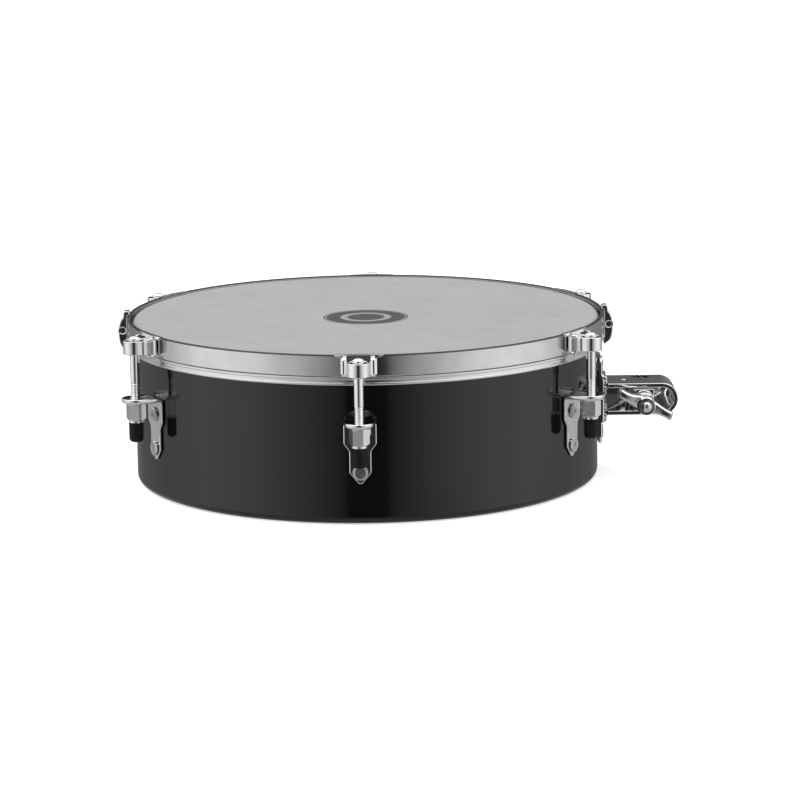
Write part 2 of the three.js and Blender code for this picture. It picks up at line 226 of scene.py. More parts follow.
# Turns a sheet's X, Y and depth into a station's Y, Z and X, or into its X, Z and -Y.
FACING_OUT = Matrix(((0, 0, 1, 0), (1, 0, 0, 0), (0, 1, 0, 0), (0, 0, 0, 1)))
FACING_ACROSS = Matrix(((1, 0, 0, 0), (0, 0, -1, 0), (0, 1, 0, 0), (0, 0, 0, 1)))
# Lays a part that was turned about Z along a station's X or Y.
ALONG_X = Matrix.Rotation(math.pi / 2, 4, "Y")
ALONG_Y = Matrix.Rotation(-math.pi / 2, 4, "X")


def placed(mesh, matrix):
    mesh.transform(matrix)
    return mesh


def moved(mesh, x=0, y=0, z=0):
    return placed(mesh, Matrix.Translation((x, y, z)))


def merged(name, meshes, sharp=SHARP):
    """One mesh holding several closed shells."""
    bm = bmesh.new()
    for mesh in meshes:
        bm.from_mesh(mesh)
        bpy.data.meshes.remove(mesh)
    whole = bpy.data.meshes.new(name)
    bm.to_mesh(whole)
    bm.free()
    return smooth(whole, sharp)


def cut(mesh, tool):
    """The first mesh with the second cut out of it, both used up."""
    body, cutter = new_object("cut_body", mesh), new_object("cut_tool", tool)
    change = body.modifiers.new("cut", "BOOLEAN")
    change.operation = "DIFFERENCE"
    change.object = cutter
    change.solver = "EXACT"
    result = mesh_of(body)
    bpy.data.objects.remove(body)
    bpy.data.objects.remove(cutter)
    return result


def turned(name, profile, steps=48, place=Matrix()):
    return mesh_from(name, lambda bm: revolve(bm, profile, steps, place))


def flat_faced(mesh):
    """The mesh with normals led by its large faces, so they look flat right up to their rounded edges."""
    holder = new_object("holder", mesh)
    holder.modifiers.new("weighted", "WEIGHTED_NORMAL").keep_sharp = True
    result = mesh_of(holder)
    result.name = mesh.name
    bpy.data.objects.remove(holder)
    return result


finished = {}  # pieces that repeat share one finished mesh


def add(name, mesh, material, body, replaces, place=Matrix()):
    """Puts a piece in the scene, on its body, in place of its CAD nodes."""
    if mesh not in finished:
        finished[mesh] = flat_faced(mesh)
    piece = new_object(name, finished[mesh])
    piece.data.materials.clear()
    piece.data.materials.append(material)
    piece.matrix_world = place
    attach(piece, body)
    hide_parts(*replaces)


# ---- materials

class Nodes:
    """Short calls for one node tree."""

    def __init__(self, tree):
        self.tree = tree

    def make(self, kind, inputs=(), **settings):
        node = self.tree.nodes.new(kind)
        for key, value in settings.items():
            setattr(node, key, value)
        for key, value in dict(inputs).items():
            if isinstance(value, bpy.types.NodeSocket):
                self.tree.links.new(value, node.inputs[key])
            else:
                node.inputs[key].default_value = value
        return node

    def math(self, operation, a, b=0.0, clamp=False):
        settings = {"operation": operation, "use_clamp": clamp}
        return self.make("ShaderNodeMath", {0: a, 1: b}, **settings).outputs[0]

    def place(self):
        return self.make("ShaderNodeTexCoord").outputs["Object"]

    def mapped(self, vector, **settings):
        return self.make("ShaderNodeMapping", {"Vector": vector, **settings}).outputs[0]

    def split(self, vector):
        return self.make("ShaderNodeSeparateXYZ", {0: vector}).outputs

    def noise(self, vector, scale, detail=4.0, roughness=0.55):
        inputs = {"Vector": vector, "Scale": scale, "Detail": detail, "Roughness": roughness}
        return self.make("ShaderNodeTexNoise", inputs).outputs["Fac"]

    def remap(self, value, low, high, to_low, to_high):
        inputs = {"Value": value, "From Min": low, "From Max": high, "To Min": to_low, "To Max": to_high}
        return self.make("ShaderNodeMapRange", inputs).outputs[0]

    def mix(self, factor, a, b):
        """Colour a where factor is 0, colour b where it is 1."""
        node = self.make("ShaderNodeMix", {"Factor": factor, "A": a, "B": b}, data_type="RGBA")
        return node.outputs["Result"]

    def ramp(self, factor, stops, ease="LINEAR"):
        """A colour ramp through stops of [position, colour]."""
        node = self.make("ShaderNodeValToRGB", {"Fac": factor})
        ramp = node.color_ramp
        ramp.interpolation = ease
        while len(ramp.elements) < len(stops):
            ramp.elements.new(0.5)
        for element, (position, colour) in zip(ramp.elements, stops):
            element.position = position
            element.color = (*colour, 1)
        return node.outputs["Color"]

    def mottle(self, cloud, dark, light):
        """A colour that wanders between two with a noise."""
        return self.ramp(cloud, [(0.3, dark), (0.7, light)], "EASE")

    def bump(self, height, strength, distance, under=None):
        inputs = {"Height": height, "Strength": strength, "Distance": distance}
        if under is not None:
            inputs["Normal"] = under
        return self.make("ShaderNodeBump", inputs).outputs[0]


def material(name, **fixed):
    """A material with a Principled shader. fixed sets its constant sockets."""
    made = bpy.data.materials.new(name)
    made.use_nodes = True
    nodes = Nodes(made.node_tree)
    shader = made.node_tree.nodes["Principled BSDF"]
    for key, value in fixed.items():
        shader.inputs[key.replace("_", " ")].default_value = value
    return made, nodes, shader


def link(nodes, shader, **sockets):
    for key, value in sockets.items():
        nodes.tree.links.new(value, shader.inputs[key.replace("_", " ")])


def grey(value, tint=(1, 1, 1)):
    return tuple(value * t for t in tint)


def lacquer_material():
    """Black lacquer with a faint orange peel and a little dust."""
    made, nodes, shader = material("shell_lacquer", Metallic=0.0, IOR=1.5)
    place = nodes.place()
    cloud = nodes.noise(place, 9, 3)
    peel = nodes.noise(place, 260, 2, 0.4)
    dust = nodes.noise(place, 2600, 2, 0.6)
    rough = nodes.math("ADD", nodes.remap(cloud, 0.3, 0.7, 0.045, 0.075),
                       nodes.remap(dust, 0.55, 0.8, 0, 0.05))
    link(nodes, shader, Base_Color=nodes.mottle(cloud, (0.0030, 0.0031, 0.0033), (0.0048, 0.0048, 0.0051)),
         Roughness=rough, Normal=nodes.bump(peel, 0.05, 0.0004))
    return made


SMEAR_TINT = (0.985, 0.995, 1.0)
CLEAN_TINT = (0.99, 1, 1.005)
# Painted shade: a dark colour band along the hoop's top edge, for the line of shadow and dark reflection
# there.
EDGE_SHADE_COLOUR = (0.10, 0.10, 0.105, 1)
EDGE_SHADE_FADE = 0.3 * MM
EDGE_SHADE_DEPTH = 0.65 * MM  # how far below the hoop's top the painted shade reaches: a dark band for the shadow and dark reflection along its top edge


def chrome_material(name, base, rough, wave=0.05, shade_above=None):
    """Polished plating with smears, hairlines and a slight wave. Above the given height the colour is painted
    dark and the surface roughened: a painted shade for the shadow and dark reflection along the hoop's top
    edge."""
    made, nodes, shader = material(name, Metallic=1.0)
    place = nodes.place()
    cloud = nodes.noise(place, 55, 4)
    fine = nodes.noise(place, 1500, 3, 0.6)
    hairs = nodes.noise(nodes.mapped(place, Scale=(1, 1, 14)), 900, 2, 0.7)
    colour = nodes.mottle(cloud, grey(base - 0.03, SMEAR_TINT), grey(base + 0.04, CLEAN_TINT))
    smear = nodes.remap(cloud, 0.35, 0.7, rough[0], rough[1])
    scratch = nodes.remap(hairs, 0.62, 0.75, 0, 0.06)
    if shade_above is not None:
        # painted shade: darkens and roughens the plating above the given height, for the shadow and dark
        # reflection at the hoop's top edge
        edge_shade = nodes.remap(nodes.split(place)[2], shade_above - EDGE_SHADE_FADE, shade_above, 0, 1)
        colour = nodes.mix(edge_shade, colour, EDGE_SHADE_COLOUR)
        scratch = nodes.math("ADD", scratch, nodes.math("MULTIPLY", edge_shade, 0.2))
    rolled = nodes.bump(cloud, wave, 0.0006)
    link(nodes, shader, Base_Color=colour, Roughness=nodes.math("ADD", smear, scratch),
         Normal=nodes.bump(fine, 0.03, 0.0001, rolled))
    return made


def steel_material():
    """Zinc-plated steel with a fine grain."""
    made, nodes, shader = material("zinc_steel", Metallic=1.0)
    place = nodes.place()
    cloud = nodes.noise(place, 160, 4)
    grain = nodes.noise(place, 2200, 3, 0.65)
    link(nodes, shader, Base_Color=nodes.mottle(cloud, (0.58, 0.59, 0.60), (0.72, 0.73, 0.74)),
         Roughness=nodes.remap(grain, 0.3, 0.7, 0.14, 0.30), Normal=nodes.bump(grain, 0.12, 0.00012))
    return made


def brushed_material():
    """Drawn aluminium, brushed round the drum."""
    made, nodes, shader = material("flesh_hoop_aluminium", Metallic=1.0)
    x, y, z = nodes.split(nodes.mapped(nodes.place(), Location=tuple(-AXIS)))
    angle = nodes.math("ARCTAN2", y, x)
    along = nodes.make("ShaderNodeCombineXYZ", {0: angle, 1: nodes.math("MULTIPLY", z, 900.0), 2: 0.0})
    lines = nodes.noise(along.outputs[0], 6, 5, 0.7)
    link(nodes, shader, Base_Color=nodes.mottle(lines, (0.66, 0.67, 0.68), (0.82, 0.83, 0.84)),
         Roughness=nodes.remap(lines, 0.3, 0.7, 0.12, 0.26), Normal=nodes.bump(lines, 0.08, 0.0001))
    return made


def rubber_material():
    """Moulded black rubber."""
    made, nodes, shader = material("black_rubber", Metallic=0.0, IOR=1.5, Specular_IOR_Level=0.16)
    place = nodes.place()
    grain = nodes.noise(place, 1800, 4, 0.6)
    cloud = nodes.noise(place, 220, 3)
    link(nodes, shader, Base_Color=nodes.mottle(cloud, grey(0.003), grey(0.008)),
         Roughness=nodes.remap(cloud, 0.3, 0.7, 0.34, 0.52), Normal=nodes.bump(grain, 0.15, 0.00015))
    return made


BADGE_RADIUS = 30 * MM
BADGE_FORWARD = 15 * MM  # of the head's middle
BADGE_RINGS = ((0.935, 0.965), (0.44, 0.60))  # pale rings, as shares of the mark's radius
RING_PALENESS = 0.8
INK = (0.085, 0.087, 0.09, 1)


def film_material():
    """Coated white film with a plain printed disc and two pale rings."""
    made, nodes, shader = material("coated_film", Metallic=0.0, IOR=1.46)
    place = nodes.place()
    speck = nodes.noise(place, 1900, 3, 0.65)
    cloud = nodes.noise(place, 14, 4)
    smudge = nodes.noise(place, 60, 5, 0.6)
    film = nodes.mottle(cloud, (0.405, 0.409, 0.412), (0.425, 0.429, 0.432))
    from_badge = nodes.mapped(place, Location=(-AXIS.x, -AXIS.y + BADGE_FORWARD, 0), Scale=(1, 1, 0))
    distance = nodes.make("ShaderNodeVectorMath", {0: from_badge}, operation="LENGTH").outputs["Value"]
    share = nodes.math("DIVIDE", distance, BADGE_RADIUS)
    ragged = nodes.math("ADD", share, nodes.remap(speck, 0.3, 0.7, -0.004, 0.004))
    dark = nodes.math("LESS_THAN", ragged, 1.0)
    for inner, outer in BADGE_RINGS:
        ring = nodes.math("MULTIPLY", nodes.math("GREATER_THAN", ragged, inner),
                          nodes.math("LESS_THAN", ragged, outer))
        dark = nodes.math("SUBTRACT", dark, nodes.math("MULTIPLY", ring, RING_PALENESS), clamp=True)
    rough = nodes.math("SUBTRACT", nodes.remap(smudge, 0.3, 0.7, 0.42, 0.56),
                       nodes.math("MULTIPLY", dark, 0.12))
    link(nodes, shader, Base_Color=nodes.mix(dark, film, INK), Roughness=rough,
         Normal=nodes.bump(speck, 0.10, 0.00008, nodes.bump(cloud, 0.02, 0.001)))
    return made


hoop_low, hoop_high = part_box("counterhoop")
HOOP_R = (hoop_high.x - hoop_low.x) / 2
HOOP_TOP = hoop_high.z

LACQUER = lacquer_material()
CHROME = chrome_material("chrome", 0.83, (0.02, 0.06))
# the hoop's plating carries a painted shade band along its top edge
HOOP_CHROME = chrome_material("hoop_chrome", 0.64, (0.12, 0.2), shade_above=HOOP_TOP - EDGE_SHADE_DEPTH)
CAST_CHROME = chrome_material("cast_chrome", 0.72, (0.08, 0.17), 0.35)
PLATE_CHROME = chrome_material("plate_chrome", 0.80, (0.05, 0.12), 0.12)
NUT_CHROME = chrome_material("nut_chrome", 0.84, (0.16, 0.26), 0.1)
STEEL = steel_material()
BRUSHED = brushed_material()
RUBBER = rubber_material()
FILM = film_material()

# ---- drum

RING_STEPS = 240
SHELL_WALL = 1.5 * MM
FOOT_RADIUS = 5 * MM
EDGE_RADIUS = 3 * MM
RIM_WIDTH = 7.1 * MM  # of the bottom rim, rolled inwards
ON_AXIS = Matrix.Translation(AXIS)


def build_shell():
    """A steel wall with its bottom rim rolled inwards and its bearing edge turned in and down."""
    top = shell_high.z
    turn_in = (SHELL_R - EDGE_RADIUS, top - EDGE_RADIUS)
    foot = (SHELL_R - FOOT_RADIUS, FOOT_RADIUS)
    wall, rim = SHELL_WALL, SHELL_R - RIM_WIDTH
    profile = [(rim, 0.2 * MM), (rim + 0.2 * MM, 0)]
    profile += arc(*foot, FOOT_RADIUS, -90, 0, 10)
    profile += [(SHELL_R, top * 0.3), (SHELL_R, top * 0.6)]
    profile += arc(*turn_in, EDGE_RADIUS, 0, 90, 8)
    profile += [(turn_in[0] - 2.4 * MM, top - 1.2 * MM), (turn_in[0] - 3.2 * MM, top - 2.6 * MM)]
    profile += arc(*turn_in, EDGE_RADIUS - wall, 90, 0, 6)
    profile += [(SHELL_R - wall, top * 0.5)]
    profile += arc(*foot, FOOT_RADIUS - wall, 0, -90, 8)
    profile += [(rim + 0.2 * MM, wall), (rim, wall - 0.2 * MM)]
    return turned("shell_lacquered", profile, RING_STEPS, ON_AXIS)


FILM_THICK = 0.35 * MM
FILM_SINK = 0.12 * MM  # how far the film dips between its middle and the edge it is stretched over


def build_film():
    low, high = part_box("head_film")
    outer = (high.x - low.x) / 2
    bend = EDGE_RADIUS + 0.75 * MM
    centre = (outer - bend, high.z - bend)
    flat = [(r * (outer - bend) / 10, high.z - FILM_SINK * math.sin(math.pi * r / 10)) for r in range(11)]
    profile = [(r, z - FILM_THICK) for r, z in flat] + arc(*centre, bend - FILM_THICK, 90, 0, 8)[1:]
    profile += [(outer - FILM_THICK, low.z), (outer, low.z)]
    profile += arc(*centre, bend, 0, 90, 8)[:-1] + list(reversed(flat))
    return turned("head_coated_film", profile, RING_STEPS, ON_AXIS)


def ring_band(name, node, inner, corners):
    """A ring of the CAD node's height and outer radius. corners lists [share of width, of height, radius]."""
    low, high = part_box(node)
    outer = (high.x - low.x) / 2
    points = [(inner + u * (outer - inner), low.z + v * (high.z - low.z)) for u, v, _ in corners]
    return turned(name, rounded(points, [r for *_, r in corners]), RING_STEPS, ON_AXIS)


def build_flesh_hoop():
    bead, soft = 0.85 * MM, 0.3 * MM
    return ring_band("flesh_hoop_channel", "flesh_hoop", SHELL_R + 1.1 * MM, [
        (0, 0, soft), (1, 0, bead), (1, 0.29, bead), (0.80, 0.33, soft), (0.80, 0.67, soft),
        (1, 0.71, bead), (1, 1, bead), (0, 1, soft)])


def build_counterhoop():
    top, bottom = 0.3 * MM, 0.6 * MM
    return ring_band("counterhoop_band", "counterhoop", SHELL_R + 2.1 * MM,
                     [(0, 0, bottom), (1, 0, bottom), (1, 1, top), (0, 1, top)])


add("shell_lacquered", build_shell(), LACQUER, "drum", ["shell"])
add("head_coated_film", build_film(), FILM, "drum", ["head_film"])
add("flesh_hoop_channel", build_flesh_hoop(), BRUSHED, "drum", ["flesh_hoop"])
add("counterhoop_band", build_counterhoop(), HOOP_CHROME, "hoop", ["counterhoop"])

# ---- tension lugs

rod_low, rod_high = local_box("tension_rod_1", LUG_STATION[1])
ROD_X = (rod_low.x + rod_high.x) / 2
claw_low, claw_high = local_box("claw_1", LUG_STATION[1])
plate_low, plate_high = local_box("lug_plate_1", LUG_STATION[1])
nut_low, nut_high = local_box("tension_nut_1", LUG_STATION[1])
cap_low, cap_high = local_box("rod_cap_1", LUG_STATION[1])
AT_ROD = Matrix.Translation((ROD_X, 0, 0))

claw_bottom, claw_top = claw_low.z + 1.9 * MM, HOOP_TOP - 2.8 * MM
BARREL_R = claw_high.x - ROD_X
HOOP_FACE = HOOP_R + 0.35 * MM  # where the claws and the clips lie on the hoop
SADDLE_TOP = HOOP_TOP + 0.4 * MM
FOOT_DEPTH = 7 * MM
# Rounded edges and a dished outer face, as [inset, height] in millimetres.
FOOT_SECTION = ((0.7, 0), (0.2, 0.2), (0, 0.7), (0, 2.4), (0.2, 2.9), (0.6, 3.15), (1.0, 3.1),
                (1.4, 2.6), (2.0, 2.4))


def pad(half_a, half_b, corner, section):
    """A closed plate in XY with rounded corners. section lists [inset, height] from underside to top."""
    def build(bm):
        loops = []
        for inset, height in section:
            a, b = half_a - inset, half_b - inset
            flat = rounded([(-a, -b), (a, -b), (a, b), (-a, b)], corner - inset * 0.9, 8)
            loops.append([(x, y, height) for x, y in flat])
        loft(bm, loops)
    return mesh_from("pad", build, math.radians(50))


def build_saddle(bm):
    """A thin plate laid over the hoop's top edge, curved with it and tapered at its ends."""
    reach, steps = math.radians(5.6), 24
    loops = []
    for k in range(steps + 1):
        share = 2 * k / steps - 1
        size = math.sqrt(max(0.0, 1 - abs(share) ** 3)) * 0.96 + 0.04
        inner, outer = HOOP_R - 2.5 * MM, HOOP_R + (0.15 + 0.5 * size) * MM
        inside = HOOP_R - 0.2 * MM
        low, high = HOOP_TOP - 2.2 * MM * size, HOOP_TOP + (SADDLE_TOP - HOOP_TOP) * (0.25 + 0.75 * size)
        outline = rounded([(inner, HOOP_TOP + 0.05 * MM), (inside, HOOP_TOP + 0.1 * MM), (inside, low),
                           (outer, low), (outer, high), (inner, high)], mm(0.05, 0.05, 0.05, 0.15, 0.4, 0.1))
        a = reach * share
        loops.append([(r * math.cos(a), r * math.sin(a), z) for r, z in outline])
    loft(bm, loops)


def claw_side(side):
    """A claw's arm on one side, its rounded foot, and the foot's edge curled back to the hoop."""
    foot_mid = claw_high.y - 1.6 * MM
    half_height = (HOOP_TOP - 0.6 * MM - claw_low.z) / 2
    near, far = HOOP_FACE + 2 * MM, ROD_X + 1 * MM
    path = [(far, BARREL_R), (HOOP_R + 8.6 * MM, BARREL_R + 0.3 * MM),
            (HOOP_R + 6.4 * MM, foot_mid + 0.9 * MM), (near, foot_mid + 0.9 * MM),
            (near, foot_mid - 0.9 * MM), (HOOP_R + 6 * MM, BARREL_R - 2.3 * MM), (far, BARREL_R - 2 * MM)]
    outline = rounded([(x, side * y) for x, y in path], mm(0.3, 3, 2, 0.3, 0.3, 2, 0.3))
    arm = moved(sheet("arm", [outline], claw_top - claw_bottom, 0.5 * MM), z=claw_bottom)
    foot = pad(FOOT_DEPTH / 2, half_height, 3.4 * MM, [mm(*point) for point in FOOT_SECTION])
    place = (HOOP_FACE + FOOT_DEPTH / 2, side * (foot_mid - 1.6 * MM), claw_low.z + half_height)
    placed(foot, Matrix.Translation(place) @ Matrix.Rotation(-side * math.pi / 2, 4, "X"))
    edge = [(HOOP_FACE + x * MM, side * (foot_mid + y * MM))
            for x, y in ((0, -0.5), (0, 2.6), (0.9, 2.4), (2.2, 0.4), (2.2, -0.5))]
    curl = sheet("curl", [rounded(edge, mm(0, 0.3, 0.6, 1.6, 0))], 2 * half_height - 3 * MM, 0.3 * MM)
    return [arm, foot, moved(curl, z=claw_low.z + 1.5 * MM)]


def build_claw():
    """An open barrel and a web to the hoop, a sloping lip over the hoop's edge, and two arms with feet."""
    bore, pocket, floor = 3.6 * MM, 6.2 * MM, claw_bottom + 4.2 * MM
    barrel = turned("barrel", rounded([
        (bore, claw_bottom), (BARREL_R, claw_bottom), (BARREL_R, claw_top), (pocket, claw_top),
        (pocket, floor), (bore, floor)], mm(0.5, 0.8, 0.5, 0.5, 0.2, 0.2)), 64, AT_ROD)
    slope = rounded([(HOOP_FACE, claw_top - 5 * MM), (HOOP_FACE + 3.6 * MM, claw_top - 5 * MM),
                     (HOOP_FACE + 0.8 * MM, SADDLE_TOP), (HOOP_FACE, SADDLE_TOP)], 0.2 * MM)
    slope_width = 16.6 * MM
    lip = moved(placed(sheet("slope", [slope], slope_width, 0.3 * MM), FACING_ACROSS), y=slope_width / 2)
    half = BARREL_R - 1 * MM
    web = rounded([(HOOP_FACE, -half), (ROD_X - pocket, -half), (ROD_X - pocket, half), (HOOP_FACE, half)],
                  0.3 * MM)
    web = moved(sheet("web", [web], 2 * MM, 0.3 * MM), z=claw_bottom + 1 * MM)
    saddle = mesh_from("saddle", build_saddle)
    return merged("claw", [barrel, *claw_side(1), *claw_side(-1), lip, saddle, web], math.radians(40))


THREAD_PITCH = 1.0 * MM
THREAD_DEPTH = 0.42 * MM


def build_tension_rod():
    """Domed head and collar, smooth shank, and a helical thread down to the end."""
    thread_r, shank_r, collar_r, head_r = 3.38 * MM, 3.3 * MM, 5.3 * MM, 4.2 * MM
    end, top = rod_low.z, rod_high.z
    thread_top = end + 38 * MM
    seat = claw_bottom + 4.55 * MM
    crown = 2.6 * MM
    profile = [
        (0, thread_top - 1 * MM), (thread_r - 0.5 * MM, thread_top - 1 * MM),
        (shank_r, thread_top - 0.3 * MM), (shank_r, seat), (collar_r - 0.3 * MM, seat),
        (collar_r, seat + 0.3 * MM), (collar_r, seat + 0.9 * MM), (collar_r - 0.3 * MM, seat + 1.2 * MM),
        (head_r + 0.2 * MM, seat + 1.2 * MM), (head_r, seat + 1.6 * MM)]
    profile += [(r, top - crown + z) for r, z in dome(head_r, crown, 8)]
    upper = turned("rod_upper", profile, 40, AT_ROD)

    def thread(bm):
        around, per_turn = 32, 8
        length = thread_top - end
        count = round(length / THREAD_PITCH * per_turn)
        loops = []
        for k in range(count + 1):
            z = end + length * k / count
            blunt = min(1, (z - end) / (1.2 * MM), (thread_top - z) / (0.8 * MM) + 0.2)
            loop = []
            for i in range(around):
                phase = ((z - end) / THREAD_PITCH - i / around) % 1
                ridge = min(1, max(0, 1.35 * abs(2 * phase - 1) - 0.15))
                r = thread_r - THREAD_DEPTH * ridge - 0.5 * MM * (1 - blunt)
                a = TAU * i / around
                loop.append((ROD_X + r * math.cos(a), r * math.sin(a), z))
            loops.append(loop)
        loft(bm, loops)

    return merged("tension_rod", [upper, mesh_from("thread", thread, math.radians(80))], math.radians(60))


def build_nut():
    """Washer face, chamfered hexagon, round collar and the sleeve that takes the cap."""
    flat = 6.0 * MM
    corner = flat / math.cos(math.pi / 6)
    turn = math.radians(-6.5)
    hex_top, hex_bottom = nut_high.z - 0.7 * MM, nut_low.z + 6.0 * MM
    collar_z = nut_low.z + 4.0 * MM
    bore = 3.45 * MM
    round_part = turned("nut_round", [
        (bore, nut_low.z), (4.0 * MM, nut_low.z), (4.0 * MM, collar_z), (5.1 * MM, collar_z),
        (5.35 * MM, collar_z + 0.3 * MM), (5.35 * MM, hex_bottom - 0.5 * MM),
        (5.0 * MM, hex_bottom + 0.2 * MM), (5.0 * MM, hex_top), (6.3 * MM, hex_top),
        (6.5 * MM, hex_top + 0.2 * MM), (6.5 * MM, hex_top + 0.5 * MM), (6.3 * MM, hex_top + 0.7 * MM),
        (bore, hex_top + 0.7 * MM)], 48, AT_ROD)

    def hexagon(bm):
        around = 72
        chamfer = 0.9 * MM
        steps = [0, 0.15, 0.35, 0.6, 1.0]
        levels = [hex_bottom + chamfer * s for s in steps]
        levels += [hex_top - chamfer * s for s in reversed(steps)]
        loops = []
        for z in levels:
            inset = min(z - hex_bottom, hex_top - z)
            cone = flat - 0.12 * MM + (corner - flat + 0.12 * MM) * min(1, inset / chamfer)
            loop = []
            for i in range(around):
                a = TAU * i / around
                in_face = (a + math.pi / 6) % (math.pi / 3) - math.pi / 6
                r = min(flat / math.cos(in_face), cone)
                loop.append((ROD_X + r * math.cos(a + turn), r * math.sin(a + turn), z))
            loops.append(loop)
        loft(bm, loops)

    return merged("nut", [round_part, mesh_from("hexagon", hexagon, math.radians(25))], math.radians(25))


def build_cap():
    """A rubber cup with a rounded end and a small bead round its mouth."""
    outer, inner, bead = cap_high.y, cap_high.y - 0.85 * MM, cap_high.y + 0.12 * MM
    bottom, top = cap_low.z, cap_high.z
    corner, floor = 3.2 * MM, cap_low.z + 1.6 * MM
    profile = [(0, bottom)] + arc(outer - corner, bottom + corner, corner, -90, 0, 8)
    profile += [(outer, top - 1.6 * MM), (bead, top - 1.3 * MM), (bead, top - 0.3 * MM),
                (outer - 0.1 * MM, top), (inner, top), (inner, floor), (0, floor)]
    return turned("cap", profile, 40, AT_ROD)


PLATE_THICK = 1.6 * MM
plate_face = plate_low.x + 1.2 * MM


def plate_outline():
    """The pointed plate, in the station's Y and Z."""
    half, stem = plate_high.y, 7.4 * MM
    point_z, stem_z, shoulder_z = [plate_low.z + height for height in mm(7.6, 22.4, 27.2)]
    right = [(1.2 * MM, plate_low.z), (stem, point_z), (stem, stem_z), (half, shoulder_z),
             (half, plate_high.z - 2.9 * MM)]
    left = [(-y, z) for y, z in reversed(right)]
    radii = [1.5, 1.2, 3, 3, 2.2]
    return rounded(right + left, mm(*radii, *reversed(radii)))


def shelf_loop(inset, z, reach):
    """One loop of the shelf: sides that narrow from the plate to a round front, set in from the edge.
    With a reach it becomes a circle of that radius round the rod. The lip dies away at the plate."""
    half, wide = 10.3 * MM - inset, 11.3 * MM - inset
    start = plate_low.x + 0.4 * MM + inset
    middle = ROD_X - 0.5 * MM
    side = [(start + (middle - start) * i / 8, wide + (half - wide) * (i / 8) ** 2) for i in range(8)]
    loop = [(x, -y) for x, y in side] + arc(middle, 0, half, -90, 90, 28) + list(reversed(side))
    loop += [(start, wide - 2 * wide * i / 8) for i in range(1, 8)]
    if reach:
        angles = [math.atan2(y, x - ROD_X) for x, y in loop]
        loop = [(ROD_X + reach * math.cos(a), reach * math.sin(a)) for a in angles]
    floor = plate_high.z - 2.0 * MM
    lip = [min(1, max(0, (x - plate_face) / (1.5 * MM))) for x, _ in loop]
    return [(x, y, z if z < floor else floor + (z - floor) * share) for (x, y), share in zip(loop, lip)]


def build_lug_plate():
    """A pointed plate with rounded edges, bent out at the top into a dished, lipped shelf."""
    plate = placed(sheet("plate", [plate_outline()], PLATE_THICK, 0.72 * MM, 4), FACING_OUT)
    moved(plate, x=plate_low.x)
    base = plate_high.z - 3.6 * MM
    bore = 3.5 * MM
    # [inset from the edge in mm, height above the shelf's underside in mm, radius round the bore or 0]
    section = [(0, 0.25, bore), (0, 0, bore + 0.3 * MM), (3.6, 0, 0), (1.6, 0.1, 0), (0.7, 0.45, 0),
               (0.2, 1.1, 0), (0, 1.9, 0), (0, 3.0, 0), (0.12, 3.35, 0), (0.4, 3.6, 0), (0.8, 3.55, 0),
               (1.15, 3.2, 0), (1.5, 2.5, 0), (2.3, 1.8, 0), (3.2, 1.6, 0), (0, 1.6, bore + 0.3 * MM),
               (0, 1.35, bore)]

    def shelf(bm):
        loops = [shelf_loop(inset * MM, base + height * MM, reach) for inset, height, reach in section]
        loft(bm, loops, ring=True)

    return merged("lug_plate", [plate, mesh_from("shelf", shelf, math.radians(60))], math.radians(40))


def cross_cutter(size, depth):
    """A tapered cross, for the driver recess of a screw head facing +Z with its top at 0."""
    def outline(reach, half, height):
        quarter = [(reach, -half), (reach, half), (half, half)]
        turns = [Matrix.Rotation(TAU * k / 4, 4, "Z") for k in range(4)]
        return [turn @ Vector((x, y, height)) for turn in turns for x, y in quarter]

    clear = 0.5 * MM
    loops = [outline(size * 0.45, size * 0.1, -depth), outline(size, size * 0.18, clear)]
    return mesh_from("cross", lambda bm: loft(bm, loops))


HEAD_FLANGE = 0.5 * MM  # how far a screw head stands past its nut
HEAD_GROOVE = 0.76  # a turned ring round the recess, as a share of the head's radius


def build_screw(name, node, place, head_height, shank_r):
    """A flat-topped screw with a cross recess, its shank through the wall and a hexagon nut inside."""
    low, high = local_box(node, place)
    radius = high.y + HEAD_FLANGE
    seat = high.x - head_height
    top = seat + head_height * 0.55
    head = turned("head", [
        (0, seat), (radius, seat), (radius, top - 0.5 * MM), (radius - 0.15 * MM, top - 0.2 * MM),
        (radius - 0.5 * MM, top), (radius * (HEAD_GROOVE + 0.04), top),
        (radius * HEAD_GROOVE, top - 0.12 * MM), (radius * (HEAD_GROOVE - 0.04), top), (0, top)], 40)
    recessed = cut(head, moved(cross_cutter(radius * 0.46, head_height * 0.45), z=top))
    under_head = seat + 0.2 * MM
    shank = turned("shank", [(0, low.x), (shank_r - 0.3 * MM, low.x), (shank_r, low.x + 0.4 * MM),
                             (shank_r, under_head), (0, under_head)], 20)
    nut_r = (high.y - shank_r) * 0.9 + shank_r
    inner, start, end = shank_r - 0.2 * MM, low.x + 1 * MM, low.x + 4 * MM
    nut = turned("inner_nut", rounded([(inner, start), (nut_r, start), (nut_r, end), (inner, end)],
                                      0.25 * MM), 6)
    whole = merged(name, [recessed, shank, nut], math.radians(30))
    return placed(whole, Matrix.Translation((0, 0, (low.z + high.z) / 2)) @ ALONG_X)


claw_mesh, rod_mesh, nut_mesh, cap_mesh = build_claw(), build_tension_rod(), build_nut(), build_cap()
lug_plate_mesh = build_lug_plate()
screw_meshes = {level: build_screw(f"lug_screw_{level}", f"lug_screw_{level}_1", LUG_STATION[1],
                                   2.6 * MM, 2.0 * MM) for level in ("upper", "lower")}

